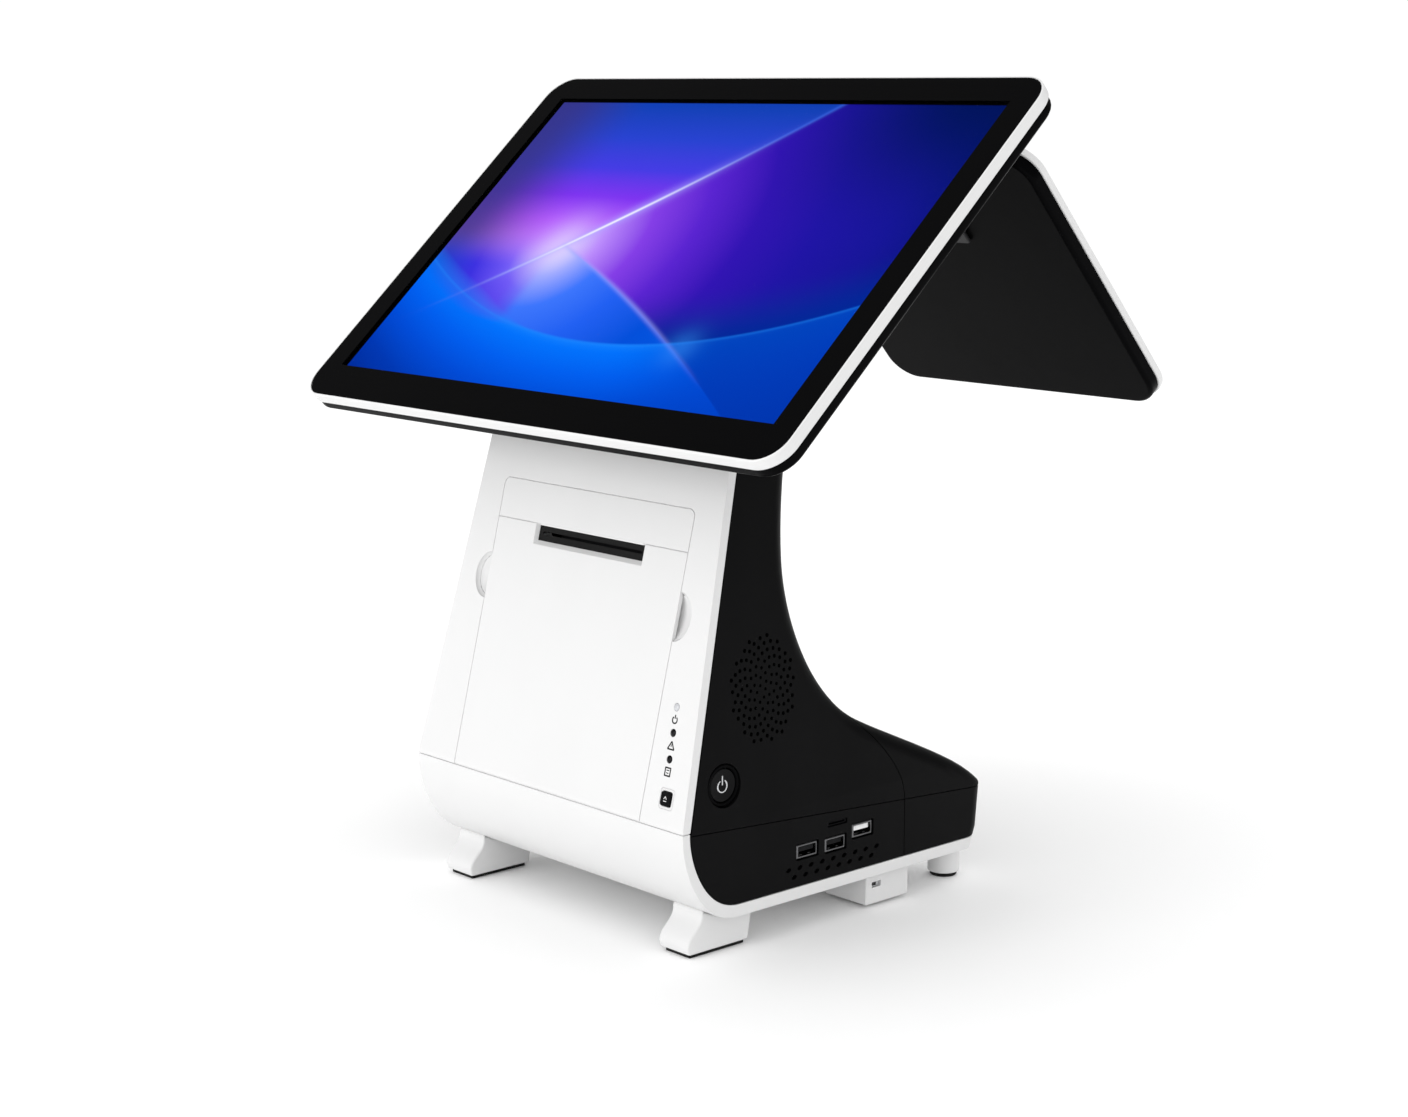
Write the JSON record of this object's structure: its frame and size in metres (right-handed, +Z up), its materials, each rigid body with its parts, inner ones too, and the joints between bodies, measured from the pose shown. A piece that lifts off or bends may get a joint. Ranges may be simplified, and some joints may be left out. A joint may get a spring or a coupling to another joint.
{
  "type": "pos touchscreen terminal",
  "caption": "Point-of-sale terminal: tilting operator touchscreen and customer display on a leaning base with a receipt printer behind a hinged door.",
  "frame": {"origin": "on the table under the middle of the whole terminal, between the tips of its displays", "axes": "+X to the operator's right, +Y from the operator to the customer, +Z up"},
  "size_m": [0.3786, 0.4042, 0.4353],
  "materials": {
    "white_abs": "fine satin",
    "black_abs": "fine satin",
    "black_glass": "polished",
    "screen": "satin",
    "rubber": "matte",
    "steel": "bright",
    "dark_steel": "satin",
    "aluminium": "satin black",
    "paper": "smooth paper",
    "board": "solder mask",
    "lamp": "translucent"
  },
  "bodies": {
    "base": {"front_frame": "white_abs", "bottom_tray": "white_abs", "upper_housing": "black_abs", "side_skirt_r": "black_abs", "side_skirt_l": "black_abs", "rear_skirt": "black_abs", "rear_cover": "black_abs", "top_panel": "white_abs", "front_foot_r": "white_abs", "front_foot_l": "white_abs", "front_pad_r": "rubber", "front_pad_l": "rubber", "rear_foot_r": "white_abs", "rear_foot_l": "white_abs", "rear_pad_r": "rubber", "rear_pad_l": "rubber", "lock_block": "white_abs", "printer_frame": "dark_steel", "print_head": "steel", "tear_bar": "steel", "door_pin_r": "steel", "door_pin_l": "steel", "speaker_driver": "black_abs", "power_ring": "black_abs", "led_power": "lamp", "led_error": "lamp", "led_paper": "lamp", "usb_port_1": "steel", "usb_port_2": "steel", "usb_port_3": "steel", "card_slot": "black_abs", "mainboard": "board", "dc_inlet": "black_abs", "network_jack": "steel", "hinge_stand": "dark_steel", "hinge_shaft": "steel", "rear_arm": "aluminium", "rear_shaft": "steel"},
    "main_display": {"display_ring": "white_abs", "display_glass": "black_glass", "display_lcd": "screen", "display_back": "black_abs", "display_bracket": "dark_steel", "bracket_screw_1": "steel", "bracket_screw_2": "steel", "bracket_screw_3": "steel", "bracket_screw_4": "steel"},
    "customer_display": {"rear_display_back": "black_abs", "rear_display_ring": "white_abs", "rear_display_glass": "black_glass", "rear_display_lcd": "screen", "rear_bracket": "dark_steel"},
    "door": {"printer_door": "white_abs"},
    "platen": {"platen_roller": "rubber", "platen_gear": "lamp"},
    "paper": {"paper_roll": "paper", "roll_core": "lamp"},
    "power_key": {"power_button": "black_abs"},
    "feed_key": {"feed_button": "black_abs"}
  },
  "joints": [
    {"name": "main_tilt", "type": "hinge", "parent": "base", "child": "main_display", "pos_m": [0, -0.10637, 0.28511], "axis": [1, 0, 0], "range_deg": [-20, 25]},
    {"name": "customer_tilt", "type": "hinge", "parent": "base", "child": "customer_display", "pos_m": [0, 0.07741, 0.35281], "axis": [1, 0, 0], "range_deg": [-12, 12]},
    {"name": "door_open", "type": "hinge", "parent": "base", "child": "door", "pos_m": [0, -0.18283, 0.0718], "axis": [1, 0, 0], "range_deg": [0, 75]},
    {"name": "platen_spin", "type": "hinge", "parent": "door", "child": "platen", "pos_m": [0, -0.14423, 0.1878], "axis": [1, 0, 0], "continuous": true},
    {"name": "paper_spin", "type": "hinge", "parent": "base", "child": "paper", "pos_m": [0, -0.12963, 0.122], "axis": [1, 0, 0], "continuous": true},
    {"name": "power_press", "type": "slide", "parent": "base", "child": "power_key", "axis": [-1, 0, 0], "range_m": [0, 0.001], "stiffness_N_per_m": 1500},
    {"name": "feed_press", "type": "slide", "parent": "base", "child": "feed_key", "axis": [0, 0.9696, -0.2446], "range_m": [0, 0.001], "stiffness_N_per_m": 800}
  ]
}
